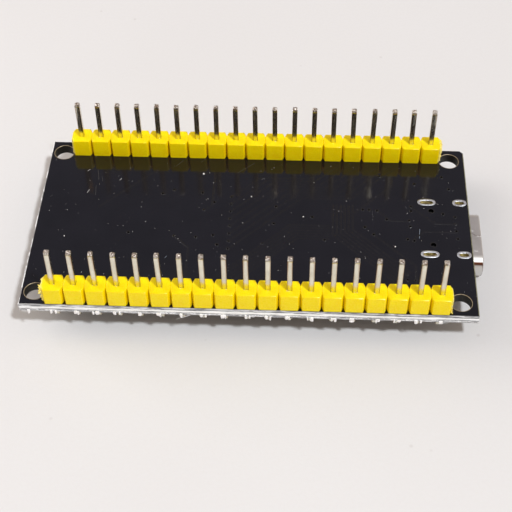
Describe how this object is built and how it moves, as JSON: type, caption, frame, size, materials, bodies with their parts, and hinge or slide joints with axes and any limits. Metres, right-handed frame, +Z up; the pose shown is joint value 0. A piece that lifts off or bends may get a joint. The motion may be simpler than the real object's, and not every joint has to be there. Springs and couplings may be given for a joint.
{
  "type": "microcontroller development board",
  "caption": "Black microcontroller development board lying pins up, with long rows of header pins in yellow housings, a USB connector at one end, and a radio module and push buttons underneath.",
  "frame": {"origin": "on the resting surface, below the middle of the whole object's outline", "axes": "+X along the board towards the USB connector, +Y across the board, +Z up along the header pins, away from the component side"},
  "size_m": [0.056, 0.028, 0.0127],
  "materials": {
    "solder_mask": "glossy black solder mask on glass-fibre board",
    "yellow_plastic": "satin moulded plastic",
    "pin_metal": "bright plated square wire",
    "steel": "satin plated steel sheet",
    "black_plastic": "matte moulded plastic",
    "lamp_plastic": "clear lamp body on a white base"
  },
  "bodies": {
    "board": {"circuit_board": "solder_mask", "header_housing_near": "yellow_plastic", "header_housing_far": "yellow_plastic", "header_pin_near_01": "pin_metal", "header_pin_near_02": "pin_metal", "header_pin_near_03": "pin_metal", "header_pin_near_04": "pin_metal", "header_pin_near_05": "pin_metal", "header_pin_near_06": "pin_metal", "header_pin_near_07": "pin_metal", "header_pin_near_08": "pin_metal", "header_pin_near_09": "pin_metal", "header_pin_near_10": "pin_metal", "header_pin_near_11": "pin_metal", "header_pin_near_12": "pin_metal", "header_pin_near_13": "pin_metal", "header_pin_near_14": "pin_metal", "header_pin_near_15": "pin_metal", "header_pin_near_16": "pin_metal", "header_pin_near_17": "pin_metal", "header_pin_near_18": "pin_metal", "header_pin_near_19": "pin_metal", "header_pin_far_01": "pin_metal", "header_pin_far_02": "pin_metal", "header_pin_far_03": "pin_metal", "header_pin_far_04": "pin_metal", "header_pin_far_05": "pin_metal", "header_pin_far_06": "pin_metal", "header_pin_far_07": "pin_metal", "header_pin_far_08": "pin_metal", "header_pin_far_09": "pin_metal", "header_pin_far_10": "pin_metal", "header_pin_far_11": "pin_metal", "header_pin_far_12": "pin_metal", "header_pin_far_13": "pin_metal", "header_pin_far_14": "pin_metal", "header_pin_far_15": "pin_metal", "header_pin_far_16": "pin_metal", "header_pin_far_17": "pin_metal", "header_pin_far_18": "pin_metal", "header_pin_far_19": "pin_metal", "radio_module_board": "solder_mask", "radio_module_can": "steel", "radio_processor_chip": "black_plastic", "radio_flash_chip": "black_plastic", "radio_crystal": "steel", "usb_shell": "steel", "usb_insulator": "black_plastic", "reset_button_base": "black_plastic", "reset_button_dome": "steel", "reset_button_cover": "steel", "boot_button_base": "black_plastic", "boot_button_dome": "steel", "boot_button_cover": "steel", "voltage_regulator": "black_plastic", "usb_serial_chip": "black_plastic", "polarity_diode": "black_plastic", "power_lamp": "lamp_plastic"},
    "reset_plunger": {"reset_button_plunger": "black_plastic"},
    "boot_plunger": {"boot_button_plunger": "black_plastic"}
  },
  "joints": [
    {"name": "reset_button_press", "type": "slide", "parent": "board", "child": "reset_plunger", "axis": [0, 0, 1], "range_m": [0, 0.00025], "stiffness_N_per_m": 4000, "springref_m": -0.00005, "deforming": ["reset_button_dome"]},
    {"name": "boot_button_press", "type": "slide", "parent": "board", "child": "boot_plunger", "axis": [0, 0, 1], "range_m": [0, 0.00025], "stiffness_N_per_m": 4000, "springref_m": -0.00005, "deforming": ["boot_button_dome"]}
  ]
}
